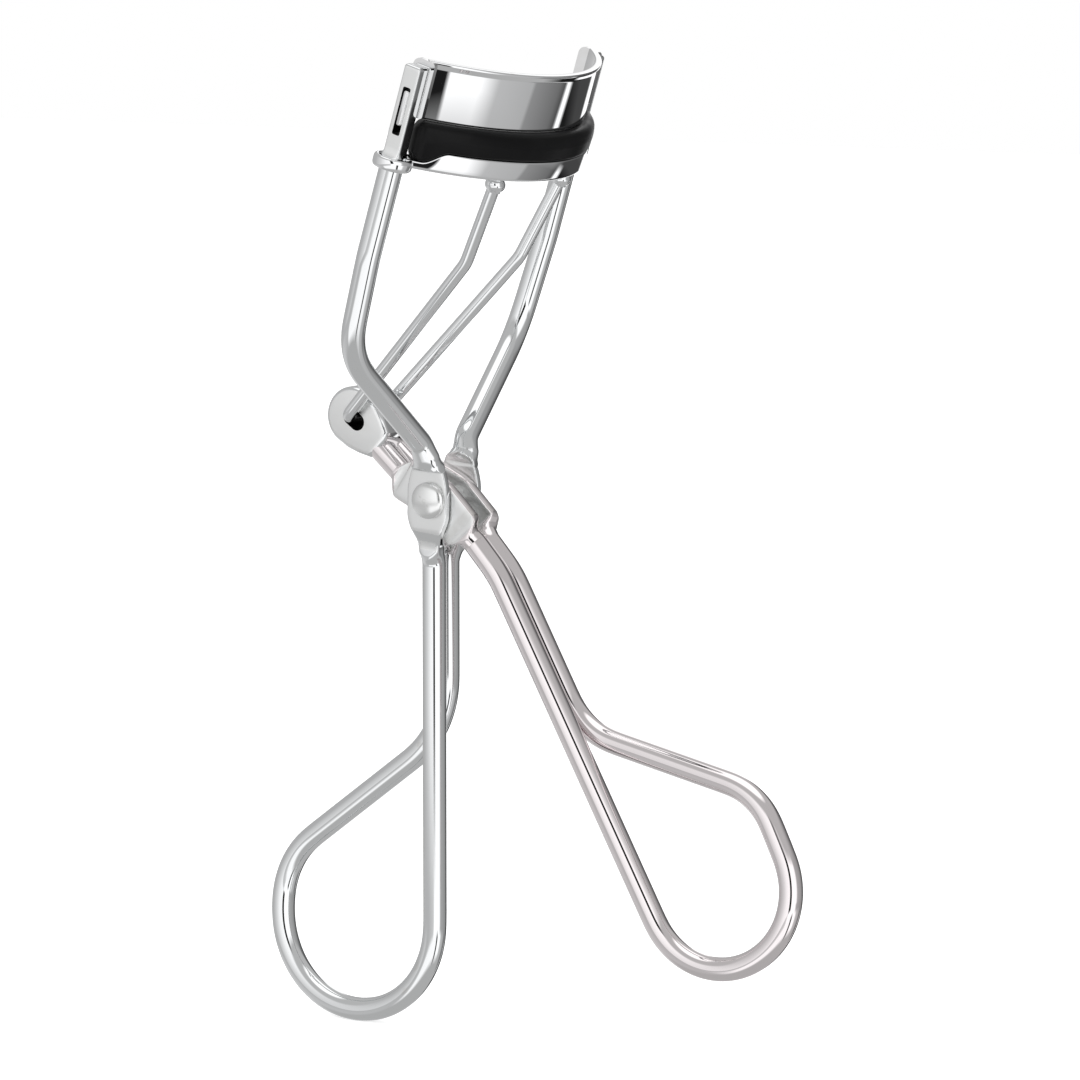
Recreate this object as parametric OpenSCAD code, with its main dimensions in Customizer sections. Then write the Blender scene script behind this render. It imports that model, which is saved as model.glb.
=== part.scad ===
// Eyelash curler. Two sprung wire handles cross at one rivet. The frame handle
// carries the fixed upper band. The lever handle pulls a wire link, which slides
// the cushioned lower jaw along the frame's two straight arms.
// Origin: middle of the rivet. +X towards the lever handle, +Y away from the
// factory rivet head, +Z up to the jaws. Millimetres. The jaws are closed.

/* [Wire] */
// Diameter of the handle wire
wire_d = 2.6; // [2.4:0.05:2.7]
// Diameter of the link wire
link_d = 1.4; // [1.2:0.05:1.5]
// Space between the two strands of a handle
strand_gap = 0.1; // [0.06:0.02:0.2]

/* [Frame handle] */
// How far the frame handle stands to the left of the rivet
strand_x = -0.85; // [-1:0.05:-0.6]
// Width of the frame's finger loop, between wire centres
loop_w = 21.3; // [20:0.1:22]
// Depth of the frame's finger loop below the rivet, to the wire centre
loop_z = 57.4; // [56:0.2:60]
// Height of the outward bend in the arms
bend_z = 16.6; // [15.5:0.1:17.5]
// Half the space between the arms, to the wire centres
arm_y = 17.6; // [17.4:0.05:17.8]
// Backward lean of the arms and of the jaw's slide, in degrees
lean = 17; // [16:0.5:18]

/* [Lever handle] */
// Angle between the two handles when the jaws are closed, in degrees
spread = 28.8; // [27:0.2:30]
// Width of the lever's finger loop, between wire centres
lever_loop_w = 16.9; // [16:0.1:17]
// Reach of the lever's finger loop along the handle, to the wire centre
lever_loop_s = 59.8; // [59:0.2:61]
// Distance from the rivet to the link's eye
eye_r = 13.64; // [13.4:0.02:13.8]
// Direction of the link's eye from the rivet, in degrees from +X
eye_a = 142; // [141:0.5:143]

/* [Jaws] */
// Radius of the jaws' curve at the middle of the band
jaw_r = 22.3; // [22:0.1:22.6]
// How far the middle of the curve stands in front of the rivet's slide line
jaw_q = 0.8; // [0.6:0.1:1]
// Height of the band's lower edge along the slide
band_low = 42.0; // [41.9:0.1:42.3]
// Height of the band
band_h = 6.3; // [6:0.1:6.5]
// Sheet thickness of the band and of the lower jaw
sheet = 0.5; // [0.4:0.05:0.6]
// Height of the lower jaw's underside along the slide
jaw_low = 36.8; // [36.7:0.05:36.9]
// Height of the lower jaw's channel walls
jaw_h = 2.2; // [2:0.1:2.3]
// Width of the lower jaw's channel
jaw_w = 3.0; // [2.9:0.05:3.2]

/* [Rivet] */
// Diameter of the rivet's shank
shank_d = 2.4; // [2.2:0.05:2.5]
// Diameter of the rivet's factory head
head_d = 4.0; // [3.8:0.1:4.2]
// Running clearance of the lever on the shank
play = 0.05; // [0.03:0.01:0.08]

/* [Hidden] */
$fn = 64;

chrome = [0.80, 0.81, 0.82];
rose_chrome = [0.82, 0.79, 0.80];
rubber = [0.05, 0.05, 0.06];

sides = 16;             // facets round a wire
bend_steps = 7;         // stretches along a bend
wire_r = wire_d / 2;
strand_y = wire_r + strand_gap / 2;

cheek_in = 2 * wire_r + strand_gap;
cheek_t = 0.9;
cheek_y = cheek_in + cheek_t / 2;
cheek_half_w = 2.5;
lug_t = 1.3;
lug_y = cheek_in - 0.15 - lug_t / 2;
lug_half_w = 2.4;

arm_foot_x = -6.75;     // where the arms' line would meet the rivet's height
arm_straight_z = 25.5;  // above this the arms run along the slide
bend_y = arm_y - 0.9;
post_low = 37.9;        // the arms' flattened ends, measured along the slide
post_top = 47.6;
post_half_y = 0.85;
post_half_x = 1.0;
slot_low = 40.0;
slot_top = 45.2;
slot_w = 0.95;

arm_q = arm_foot_x * cos(lean);
jaw_centre = jaw_q - jaw_r;
half_angle = 47;        // how far the band turns each side of the middle
rim_h = 0.7;
rim_t = 0.9;
tab_w = 0.6;            // the tab is set against the slot's front wall
tab_q = arm_q + slot_w / 2 - tab_w;
plate_y = 16.4;         // the band's turned ends, beside the arms
plate_t = 0.6;
plate_back = 1.15;
plate_l = 2.75;
plate_low = band_low + 0.15;
plate_h = band_h - 0.25;
tab_low = 41.1;
tab_top = 44.9;
tab_end = arm_y + post_half_y + 0.35;
ring_out = 2.15;
ring_bore = wire_r + 0.2;
ring_low = 36.3;
ring_h = 1.35;
lip_angle = 37;         // the channel's walls drop beyond this
low_wall = 0.9;
jaw_end = 46.5;

pad_angle = 44.5;
pad_low_w = jaw_w - 2 * sheet - 0.1;
pad_w = 3.2;
pad_top = band_low - 0.06;
pad_gap = 0.05;
pad_r = 0.9;

collar_y = 6.6;
collar_angle = asin(collar_y / jaw_r);
collar_d = 2.3;
collar_low = 35.25;
link_r = link_d / 2;
link_knee = [5.84, 5.35, 25.9];
link_leg_y = 3.55;

eye = [eye_r * cos(eye_a), 0, eye_r * sin(eye_a)];
eye_hole_r = link_r + 0.25;
eye_travel = [0.78, 0, -0.56];
boss_r = 3.25;
boss_half_y = 2.65;
boss_w = 4.0;
boss_l = 4.4;

// Routes
function unit(v) = v / norm(v);
function flip(p) = [p[0], -p[1], p[2]];
function blend(a, b, x) = let (k = min(1, max(0, (x - a) / (b - a)))) k * k * (3 - 2 * k);
function turn(a, b, c, r) =
    r == 0 ? [b] :
    let (u = unit(a - b), v = unit(c - b), half = acos(u * v) / 2)
    half > 89.5 ? [b] :
    let (p = b + u * r / tan(half), q = b + v * r / tan(half),
         m = b + unit(u + v) * r / sin(half), w = 180 - 2 * half)
    [for (i = [0 : bend_steps]) m + (sin(w * (1 - i / bend_steps)) * (p - m)
                                     + sin(w * i / bend_steps) * (q - m)) / sin(w)];
function route(pts, radii) = [
    for (i = [0 : len(pts) - 1])
        for (p = (i == 0 || i == len(pts) - 1) ? [pts[i]]
                 : turn(pts[i - 1], pts[i], pts[i + 1], radii[i])) p];
function reversed(v) = [for (i = [len(v) - 1 : -1 : 0]) v[i]];

// A rounded bar of changing section, [half thickness, half width, squareness],
// along a route. The thickness lies towards the side vector.
function power(x, n) = sign(x) * pow(abs(x), 2 / n);
module bar(path, sections, side, m = sides) {
    last = len(path) - 1;
    points = [
        for (i = [0 : last])
            let (t = unit(path[min(i + 1, last)] - path[max(i - 1, 0)]),
                 n = unit(side - (side * t) * t),
                 b = cross(t, n), s = sections[i])
            for (j = [0 : m - 1])
                let (a = 360 * (j + 0.5) / m)
                path[i] + n * s[0] * power(cos(a), s[2]) + b * s[1] * power(sin(a), s[2])];
    walls = [
        for (i = [0 : last - 1])
            for (j = [0 : m - 1])
                let (k = (j + 1) % m)
                for (f = [[i * m + j, (i + 1) * m + j, (i + 1) * m + k],
                          [i * m + j, (i + 1) * m + k, i * m + k]]) f];
    start = [[for (j = [0 : m - 1]) j]];
    stop = [[for (j = [m - 1 : -1 : 0]) last * m + j]];
    polyhedron(points, concat(start, walls, stop), convexity = 8);
}

// Slide frame: x forward, z along the slide, origin at the rivet
module on_slide() {
    rotate([0, lean, 0]) children();
}
function slide(q, y, r) = [q * cos(lean) + r * sin(lean), y, r * cos(lean) - q * sin(lean)];
function slide_height(p) = p[0] * sin(lean) + p[2] * cos(lean);

// A ring sector about the jaws' centre, from a profile of radius and height
module jaw_sweep(half) {
    on_slide()
        translate([jaw_centre, 0, 0])
            rotate([0, 0, -half])
                rotate_extrude(angle = 2 * half, $fn = 180) children();
}

// Frame handle: one wire from the near arm's end round to the far arm's end
function arm_at(z, y) = [arm_foot_x + z * tan(lean), y, z];
near_half = [
    slide(arm_q, -arm_y, post_top),
    slide(arm_q, -arm_y, post_low),
    slide(arm_q, -arm_y, post_low - 0.5),
    arm_at(arm_straight_z, -arm_y),
    arm_at(bend_z, -bend_y),
    [-0.45, -4.5, 6.2],
    [-0.2, -3.9, 4.6],
    [-0.35, -cheek_y, 3.2],
    [-0.4, -cheek_y, 1.6],
    [-0.4, -cheek_y, 0],
    [-0.4, -cheek_y, -2.0],
    [-0.5, -cheek_y, -3.9],
    [strand_x, -strand_y, -6.3]];
near_radii = [0, 0, 0, 20, 8, 2.4, 0, 0, 0, 0, 0, 0, 2];
loop_left = strand_x - loop_w;
loop_shoulder_z = -25.8;
loop_corner_z = -41.8;
loop_turn = [
    [strand_x, -strand_y, -loop_z],
    [loop_left, -0.4, -loop_z],
    [loop_left, 1.0, loop_corner_z],
    [strand_x, strand_y, loop_shoulder_z]];
loop_radii = [loop_w / 2 - 0.05, loop_w / 2 - 0.05, 9, 12];
frame_path = route(concat(near_half, loop_turn, reversed([for (p = near_half) flip(p)])),
                   concat(near_radii, loop_radii, reversed(near_radii)));
function cheek_flat(z) = z > 0 ? 1 - blend(3.4, 4.8, z) : 1 - blend(4.2, 5.8, -z);
function frame_section(p) =
    let (f = abs(p[1]) < bend_y / 2 ? cheek_flat(p[2]) : 0,
         g = blend(post_low - 0.5, post_low, slide_height(p)),
         w = cheek_half_w * (p[2] > 0 ? 1 : 1 - 0.4 * blend(2.2, 5.2, -p[2])))
    g > 0 ? [wire_r + g * (post_half_y - wire_r), wire_r + g * (post_half_x - wire_r), 2 + 8 * g]
          : [wire_r + f * (cheek_t / 2 - wire_r), wire_r + f * (w - wire_r), 2 + 4 * f];

module rivet_bore(r) {
    rotate([90, 0, 0]) cylinder(h = 4 * cheek_y, r = r, center = true);
}

module frame_wire() {
    color(chrome)
    difference() {
        bar(frame_path, [for (p = frame_path) frame_section(p)], [0, 1, 0]);
        rivet_bore(shank_d / 2 + 0.02);
        for (side = [-1, 1])
            on_slide()
                translate([arm_q - slot_w / 2, side * arm_y - 2, slot_low])
                    cube([slot_w, 4, slot_top - slot_low]);
    }
}

// Lever handle: one wire bent double, its bight pressed into a boss with the eye
lever_foot = [2.35, 0, 1.26];
along = [sin(spread), 0, -cos(spread)];
across = [cos(spread), 0, sin(spread)];
function lever_at(s, w, y) = lever_foot + s * along + w * across + [0, y, 0];
lever_near = [
    [-8.4, -strand_y, 5.95],
    [-6.4, -strand_y, 4.2],
    [-4.9, -strand_y, 2.9],
    [-3.7, -lug_y, 2.1],
    [-2.0, -lug_y, 1.0],
    [0, -lug_y, 0],
    [2.0, -lug_y, -2.0],
    [3.3, -lug_y, -3.3],
    [4.4, -strand_y, -4.6],
    [7.4, -strand_y, -7.9],
    lever_at(24, 0, -strand_y)];
lever_radii = [0, 0, 0, 0, 0, 0, 0, 0, 0, 14, 0];
lever_turn = [
    lever_at(lever_loop_s, 0, -strand_y),
    lever_at(lever_loop_s, lever_loop_w, -0.4),
    lever_at(44.1, lever_loop_w, 1.0),
    lever_at(29.4, 0, strand_y)];
lever_turn_radii = [lever_loop_w / 2 - 0.05, lever_loop_w / 2 - 0.05, 8, 8.5];
lever_far = reversed([for (p = lever_near) flip(p)]);
lever_path = route(concat(lever_near, lever_turn, [for (i = [1 : len(lever_far) - 1]) lever_far[i]]),
                   concat(lever_radii, lever_turn_radii,
                          [for (i = [1 : len(lever_far) - 1]) reversed(lever_radii)[i]]));
function lug_flat(p) = 1 - blend(4.4, 5.6, norm([p[0], p[2]]));
function lever_section(p) =
    let (f = lug_flat(p))
    [wire_r + f * (lug_t / 2 - wire_r), wire_r + f * (lug_half_w - wire_r), 2 + 4 * f];

module lever_wire() {
    color(rose_chrome)
    difference() {
        union() {
            bar(lever_path, [for (p = lever_path) lever_section(p)], [0, 1, 0]);
            translate(eye) {
                rotate([90, 0, 0])
                    cylinder(h = 2 * boss_half_y, r = boss_r, center = true);
                rotate([0, 42, 0])
                    translate([0, -boss_half_y, -boss_w / 2])
                        cube([boss_l, 2 * boss_half_y, boss_w]);
            }
        }
        rivet_bore(shank_d / 2 + play);
        for (k = [0 : 0.5 : 1])
            translate(eye + k * eye_travel)
                rotate([90, 0, 0])
                    cylinder(h = 4 * boss_half_y, r = eye_hole_r, center = true);
    }
}

// Pivot rivet: shank, domed factory head on the near side, set head on the far side
module domed_head(d, rim, rise) {
    dome_r = (d * d / 4 + rise * rise) / (2 * rise);
    cylinder(h = rim, d = d);
    translate([0, 0, rim])
        intersection() {
            translate([0, 0, rise - dome_r]) sphere(r = dome_r);
            cylinder(h = rise + 1, d = d);
        }
}
module pivot_rivet() {
    seat = cheek_in + cheek_t;
    color(chrome) {
        rotate([90, 0, 0]) cylinder(h = 2 * seat, d = shank_d, center = true);
        translate([0, -seat, 0]) rotate([90, 0, 0]) domed_head(head_d, 0.35, 0.75);
        translate([0, seat, 0]) rotate([-90, 0, 0]) domed_head(head_d - 0.4, 0.2, 0.4);
    }
}

// Upper band: pressed strip with a thick rim, held by a tab through each arm's slot
module upper_band() {
    color(chrome) {
        jaw_sweep(half_angle)
            union() {
                translate([jaw_r - sheet / 2, band_low]) square([sheet, band_h]);
                translate([jaw_r + sheet / 2 - rim_t, band_low + band_h - rim_h])
                    square([rim_t, rim_h]);
            }
        for (side = [-1, 1])
            on_slide() {
                translate([tab_q, min(side * plate_y, side * tab_end), tab_low])
                    cube([tab_w, tab_end - plate_y, tab_top - tab_low]);
                translate([arm_q - plate_back, side * plate_y - plate_t / 2, plate_low])
                    cube([plate_l, plate_t, plate_h]);
            }
    }
}

// Lower jaw: channel that holds the pad, with a ring at each end round its arm
module channel() {
    jaw_sweep(jaw_end)
        translate([jaw_r - jaw_w / 2, jaw_low])
            difference() {
                square([jaw_w, jaw_h]);
                translate([sheet, sheet]) square([jaw_w - 2 * sheet, jaw_h]);
            }
}
module wall_cut() {
    on_slide()
        translate([jaw_centre, 0, 0])
            rotate([0, 0, lip_angle])
                rotate_extrude(angle = 20, $fn = 180)
                    translate([jaw_r - jaw_w, jaw_low + low_wall])
                        square([2 * jaw_w, 2 * jaw_h]);
}
module lower_jaw() {
    color(chrome)
    difference() {
        union() {
            difference() {
                channel();
                wall_cut();
                mirror([0, 1, 0]) wall_cut();
            }
            for (side = [-1, 1])
                on_slide()
                    translate([arm_q, side * arm_y, ring_low])
                        cylinder(h = ring_h, r = ring_out);
        }
        for (side = [-1, 1])
            on_slide()
                translate([arm_q, side * arm_y, ring_low - 1])
                    cylinder(h = ring_h + 4, r = ring_bore);
    }
}

// Lash pad: soft strip, its foot in the channel and its crown under the band
module lash_pad() {
    foot_low = jaw_low + sheet + pad_gap;
    crown_low = jaw_low + jaw_h + pad_gap;
    half = pad_w / 2;
    corner = [for (a = [0 : 15 : 90]) [pad_r * cos(a), pad_r * sin(a)]];
    right = [for (c = corner) [half - pad_r + c[0], pad_top - pad_r + c[1]]];
    color(rubber)
    union() {
        jaw_sweep(pad_angle)
            translate([jaw_r, 0])
                polygon(concat([[-half, crown_low], [half, crown_low]], right,
                               [for (p = reversed(right)) [-p[0], p[1]]]));
        jaw_sweep(lip_angle - 1)
            translate([jaw_r - pad_low_w / 2, foot_low])
                square([pad_low_w, crown_low + 0.6 - foot_low]);
    }
}

// Link: one wire through the lever's eye, with both legs up to the lower jaw
collar_q = jaw_centre + jaw_r * cos(collar_angle);
link_top = slide(collar_q, -collar_y, jaw_low - 0.6);
link_near = [
    link_top,
    [link_knee[0], -link_knee[1], link_knee[2]],
    [eye[0], -link_leg_y, eye[2]]];
link_path = route(concat(link_near, reversed([for (p = link_near) flip(p)])),
                  [0, 5, 1.1, 1.1, 5, 0]);
module link_wire() {
    color(chrome)
    bar(link_path, [for (p = link_path) [link_r, link_r, 2]], [sin(45), 0, -cos(45)], 12);
}

// Collars that rivet the link's ends under the lower jaw
module link_collar(side) {
    color(chrome)
    difference() {
        on_slide()
            translate([collar_q, side * collar_y, collar_low])
                union() {
                    cylinder(h = jaw_low - collar_low, d = collar_d - 0.5);
                    translate([0, 0, (jaw_low - collar_low) / 2])
                        sphere(d = collar_d - 0.2);
                }
        on_slide()
            translate([collar_q - 3, side * collar_y - 3, jaw_low])
                cube([6, 6, 3]);
        for (s = [-1, 1])
            scale([1, s, 1]) link_socket();
    }
}
module link_socket() {
    top = link_top;
    run = unit(top - [link_knee[0], -link_knee[1], link_knee[2]]);
    tilt = acos(run[2]);
    spin = atan2(run[1], run[0]);
    translate(top - 4 * run)
        rotate([0, tilt, spin])
            cylinder(h = 4.02, r = link_r + 0.02);
}
module link_collar_near() { link_collar(-1); }
module link_collar_far() { link_collar(1); }

frame_wire();
lever_wire();
pivot_rivet();
upper_band();
lower_jaw();
lash_pad();
link_wire();
link_collar_near();
link_collar_far();
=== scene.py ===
"""Looks for a chrome wire eyelash curler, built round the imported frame.

Every size is in millimetres in the part's own frame: origin at the middle of the
rivet, +X towards the lever handle, +Y away from the rivet's factory head, +Z up to
the jaws. Meshes are turned into metres as they are made.
"""

import logging
import math
from dataclasses import dataclass, field
from enum import Enum
from typing import Callable, Sequence

import bmesh
import bpy
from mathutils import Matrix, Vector


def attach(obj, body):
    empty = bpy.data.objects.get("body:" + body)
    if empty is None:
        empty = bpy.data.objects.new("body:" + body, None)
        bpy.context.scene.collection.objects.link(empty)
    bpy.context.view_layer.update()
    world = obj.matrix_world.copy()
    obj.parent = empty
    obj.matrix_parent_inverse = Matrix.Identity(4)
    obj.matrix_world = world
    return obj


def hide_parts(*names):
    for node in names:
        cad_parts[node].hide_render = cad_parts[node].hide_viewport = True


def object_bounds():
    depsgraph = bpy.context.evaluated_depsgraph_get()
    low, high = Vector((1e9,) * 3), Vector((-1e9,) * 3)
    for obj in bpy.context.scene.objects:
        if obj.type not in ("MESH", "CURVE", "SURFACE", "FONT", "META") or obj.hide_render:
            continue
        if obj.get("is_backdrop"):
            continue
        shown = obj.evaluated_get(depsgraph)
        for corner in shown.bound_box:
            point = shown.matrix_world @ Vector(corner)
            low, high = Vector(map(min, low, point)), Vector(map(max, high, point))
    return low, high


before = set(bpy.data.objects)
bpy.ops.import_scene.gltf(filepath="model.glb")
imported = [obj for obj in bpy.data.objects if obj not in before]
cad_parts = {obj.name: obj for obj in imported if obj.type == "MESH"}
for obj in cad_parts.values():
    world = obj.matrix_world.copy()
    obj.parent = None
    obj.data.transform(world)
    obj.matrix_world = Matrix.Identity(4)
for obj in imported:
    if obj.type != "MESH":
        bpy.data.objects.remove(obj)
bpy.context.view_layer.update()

MM = 0.001
LOG = logging.getLogger("curler")
MERGE_MM = 1e-5
STRAIGHT_DEG = 89.5
SIDEWAYS = 0.93
NEAR_WALL = 0.03
PRESSED_INDEX = 1
# Material index of the near-black painted shade on the slot and eye walls.
PAINTED_SHADE_INDEX = 2
ROUND = 2

Section = tuple[float, float, float]
Point2 = tuple[float, float]


class Body(Enum):
    """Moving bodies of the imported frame."""

    FRAME = "frame"
    LEVER = "lever"
    JAW = "jaw"


class Slot(Enum):
    """Material slots of the record."""

    CHROME = "chrome"
    WARM_CHROME = "warm_chrome"
    RUBBER = "rubber"


# ---------------------------------------------------------------- geometry helpers

def smooth(low: float, high: float, x: float) -> float:
    """Return a soft step from 0 at low to 1 at high."""
    k = min(1.0, max(0.0, (x - low) / (high - low)))
    return k * k * (3 - 2 * k)


def flip(p: Vector) -> Vector:
    """Return the point mirrored to the other side of the tool."""
    return Vector((p.x, -p.y, p.z))


def fillet(a: Vector, b: Vector, c: Vector, radius: float, steps: int = 18) -> list[Vector]:
    """Round the corner at b.

    Args:
        a: Point before the corner.
        b: The corner.
        c: Point after the corner.
        radius: Radius of the bend; 0 keeps the corner.
        steps: Stretches along the bend.

    Returns:
        The points that take the corner's place.
    """
    u = (a - b).normalized()
    v = (c - b).normalized()
    half = u.angle(v) / 2
    if radius == 0 or half > math.radians(STRAIGHT_DEG):
        return [b]
    first = b + u * radius / math.tan(half)
    last = b + v * radius / math.tan(half)
    centre = b + (u + v).normalized() * radius / math.sin(half)
    sweep = math.pi - 2 * half
    points = []
    for i in range(steps + 1):
        k = i / steps
        near = math.sin(sweep * (1 - k)) * (first - centre)
        far = math.sin(sweep * k) * (last - centre)
        points.append(centre + (near + far) / math.sin(sweep))
    return points


def route(corners: Sequence[Vector], radii: Sequence[float], step: float = 0.5) -> list[Vector]:
    """Join corners with rounded bends and points spaced along the straights.

    Args:
        corners: The route's corners.
        radii: A bend radius for each corner.
        step: Longest stretch between two points.

    Returns:
        The points of the route.
    """
    rough = [corners[0]]
    for i in range(1, len(corners) - 1):
        rough += fillet(corners[i - 1], corners[i], corners[i + 1], radii[i])
    rough.append(corners[-1])
    fine = [rough[0]]
    for a, b in zip(rough, rough[1:]):
        count = max(1, math.ceil((b - a).length / step))
        fine += [a.lerp(b, (k + 1) / count) for k in range(count)]
    return relax(fine, 6)


def relax(points: list[Vector], passes: int) -> list[Vector]:
    """Ease the points towards their neighbours, keeping both ends.

    Args:
        points: The points.
        passes: How many times they are eased.

    Returns:
        The eased points.
    """
    for _ in range(passes):
        eased = [points[0]]
        for a, b, c in zip(points, points[1:], points[2:]):
            eased.append(b * 0.5 + (a + c) * 0.25)
        eased.append(points[-1])
        points = eased
    return points


def power(x: float, n: float) -> float:
    """Return the signed power that squares off a round section."""
    return math.copysign(abs(x) ** (2 / n), x)


def crisp_edges(bm: bmesh.types.BMesh, crease_deg: float) -> None:
    """Shade a mesh smooth, with edges sharper than the crease kept crisp.

    Args:
        bm: The mesh.
        crease_deg: Edges sharper than this stay crisp.
    """
    for face in bm.faces:
        face.smooth = True
    for edge in bm.edges:
        if len(edge.link_faces) == 2:
            edge.smooth = edge.calc_face_angle() < math.radians(crease_deg)


def new_object(name: str, bm: bmesh.types.BMesh, crease_deg: float = 40) -> bpy.types.Object:
    """Turn a bmesh in millimetres into an object in metres.

    Args:
        name: Name of the piece.
        bm: The mesh; it is freed here.
        crease_deg: Edges sharper than this stay crisp.

    Returns:
        The new object, linked to the scene.
    """
    bmesh.ops.remove_doubles(bm, verts=bm.verts, dist=MERGE_MM)
    bmesh.ops.recalc_face_normals(bm, faces=bm.faces)
    bmesh.ops.scale(bm, vec=(MM, MM, MM), verts=bm.verts)
    crisp_edges(bm, crease_deg)
    mesh = bpy.data.meshes.new(name)
    bm.to_mesh(mesh)
    bm.free()
    obj = bpy.data.objects.new(name, mesh)
    bpy.context.scene.collection.objects.link(obj)
    return obj


def add_rings(bm: bmesh.types.BMesh, rings: Sequence[Sequence[Vector]]) -> None:
    """Skin closed rings into a capped tube.

    Args:
        bm: Mesh to add to.
        rings: Closed rings with the same number of points, in order.
    """
    made = [[bm.verts.new(p) for p in ring] for ring in rings]
    for one, two in zip(made, made[1:]):
        count = len(one)
        for j in range(count):
            k = (j + 1) % count
            bm.faces.new((one[j], two[j], two[k], one[k]))
    bm.faces.new(made[0])
    bm.faces.new(list(reversed(made[-1])))


@dataclass
class Bar:
    """A bar of changing section along a route.

    The section gives half the thickness towards the side vector, half the width
    across it, and the squareness: 2 is round.
    """

    path: list[Vector]
    section: Callable[[Vector], Section]
    side: Vector
    sides: int = 40
    end_round: float = 0.25

    def rings(self) -> list[list[Vector]]:
        """Return the bar's rings, with both ends rounded over.

        Returns:
            The rings, in order along the bar.
        """
        last = len(self.path) - 1
        rings = []
        for i, p in enumerate(self.path):
            t = (self.path[min(i + 1, last)] - self.path[max(i - 1, 0)]).normalized()
            if i in (0, last):
                out = -t if i == 0 else t
                over = [self.ring(p + out * self.end_round * (math.sin(a) - 1), t, p,
                                  self.end_round * (1 - math.cos(a)))
                        for a in (math.pi / 2 * k / 5 for k in range(6))]
                rings += list(reversed(over)) if i == 0 else over
            elif min((p - self.path[0]).length, (p - self.path[-1]).length) > self.end_round:
                rings.append(self.ring(p, t, p, 0))
        return rings

    def ring(self, centre: Vector, t: Vector, at: Vector, less: float) -> list[Vector]:
        """Return one ring across the tangent t, made smaller by less.

        Args:
            centre: The ring's middle.
            t: Direction of the bar there.
            at: Where the section is read.
            less: How much smaller the ring is.

        Returns:
            The ring's points.
        """
        half_t, half_w, square = self.section(at)
        n = (self.side - self.side.dot(t) * t).normalized()
        b = t.cross(n)
        points = []
        for j in range(self.sides):
            a = 2 * math.pi * (j + 0.5) / self.sides
            x = (half_t - less) * power(math.cos(a), square)
            y = (half_w - less) * power(math.sin(a), square)
            points.append(centre + n * x + b * y)
        return points

    def build(self, bm: bmesh.types.BMesh) -> None:
        """Add the bar to a mesh."""
        add_rings(bm, self.rings())


def lathe(bm: bmesh.types.BMesh, profile: Sequence[Point2], origin: Vector, axis: Vector,
          count: int = 48) -> None:
    """Turn a profile of radius and height about an axis.

    Args:
        bm: Mesh to add to.
        profile: Radius and height of each step, ends on the axis or closed.
        origin: Foot of the axis.
        axis: Direction of the axis.
        count: Steps round the turn.
    """
    w = axis.normalized()
    u = w.orthogonal().normalized()
    v = w.cross(u)
    rows = []
    for radius, height in profile:
        row = []
        for j in range(count):
            a = 2 * math.pi * j / count
            row.append(bm.verts.new(origin + w * height
                                    + (u * math.cos(a) + v * math.sin(a)) * radius))
        rows.append(row)
    closed = profile[0] == profile[-1]
    for one, two in zip(rows, rows[1:]):
        for j in range(count):
            k = (j + 1) % count
            bm.faces.new((one[j], one[k], two[k], two[j]))
    if not closed:
        bm.faces.new(list(reversed(rows[0])))
        bm.faces.new(rows[-1])


def carve(obj: bpy.types.Object, cutter_bm: bmesh.types.BMesh, crease_deg: float = 30) -> None:
    """Cut a shape out of an object and keep the result as its mesh.

    Args:
        obj: The object to cut.
        cutter_bm: The shape to take away, in millimetres.
        crease_deg: Edges sharper than this stay crisp.
    """
    cutter = new_object("cutter", cutter_bm)
    modifier = obj.modifiers.new("cut", "BOOLEAN")
    modifier.operation = "DIFFERENCE"
    modifier.solver = "EXACT"
    modifier.object = cutter
    depsgraph = bpy.context.evaluated_depsgraph_get()
    mesh = bpy.data.meshes.new_from_object(obj.evaluated_get(depsgraph))
    obj.modifiers.clear()
    old = obj.data
    obj.data = mesh
    mesh.name = obj.name
    bpy.data.meshes.remove(old)
    bpy.data.objects.remove(cutter)
    bm = bmesh.new()
    bm.from_mesh(mesh)
    crisp_edges(bm, crease_deg)
    bm.to_mesh(mesh)
    bm.free()


# ---------------------------------------------------------------- finishes

def math_node(tree: bpy.types.NodeTree, operation: str, one: bpy.types.NodeSocket | float,
              two: bpy.types.NodeSocket | float) -> bpy.types.NodeSocket:
    """Join two values by an operation.

    Args:
        tree: Tree to add the node to.
        operation: Name of the operation.
        one: First socket or number.
        two: Second socket or number.

    Returns:
        The result's socket.
    """
    node = tree.nodes.new("ShaderNodeMath")
    node.operation = operation
    for index, given in enumerate((one, two)):
        if isinstance(given, bpy.types.NodeSocket):
            tree.links.new(given, node.inputs[index])
        else:
            node.inputs[index].default_value = given
    return node.outputs["Value"]


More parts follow.
